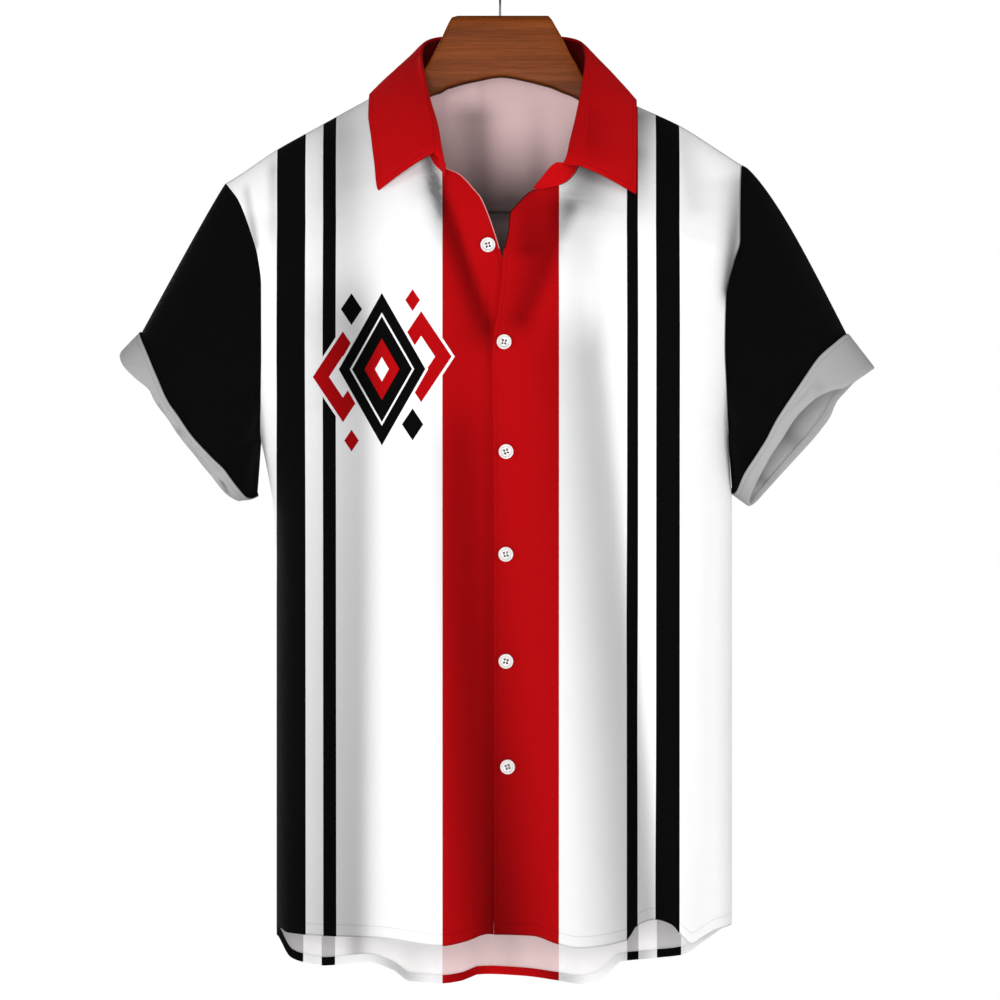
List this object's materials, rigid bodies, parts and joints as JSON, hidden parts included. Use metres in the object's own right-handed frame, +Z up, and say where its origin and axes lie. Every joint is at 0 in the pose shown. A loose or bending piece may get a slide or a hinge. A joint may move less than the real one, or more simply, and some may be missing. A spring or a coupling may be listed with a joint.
{
  "type": "short-sleeved shirt on a hanger",
  "caption": "Short-sleeved button-through bowling shirt with striped body, dark sleeves, turned-back cuffs and a bright turned collar, hanging on a shaped wooden hanger.",
  "frame": {"origin": "inside top of the hanger's hook, where it bears on a rail", "axes": "+Z up, the shirt hanging down along -Z; -Y is the front of the shirt; +X to the right seen from the front"},
  "size_m": [0.6279, 0.1928, 0.8756],
  "materials": {
    "body_cloth": "plain-woven white cloth with broad upright stripes in red and black",
    "sleeve_cloth": "matt black plain-woven cloth",
    "cuff_cloth": "pale grey reverse of the printed cloth",
    "collar_cloth": "bright red plain-woven cloth, two layers",
    "button": "glossy white",
    "hanger_wood": "reddish-brown varnish",
    "hook_wire": "bright drawn wire"
  },
  "bodies": {
    "root": {"back": "body_cloth", "button_1": "button", "button_2": "button", "button_3": "button", "button_4": "button", "button_5": "button", "button_6": "button", "collar_fall": "collar_cloth", "collar_stand": "collar_cloth", "cuff_left": "cuff_cloth", "cuff_right": "cuff_cloth", "front_left": "body_cloth", "front_right": "body_cloth", "hanger_bar": "hanger_wood", "hanger_hook": "hook_wire", "sleeve_left": "sleeve_cloth", "sleeve_right": "sleeve_cloth", "yoke": "body_cloth"}
  },
  "joints": []
}
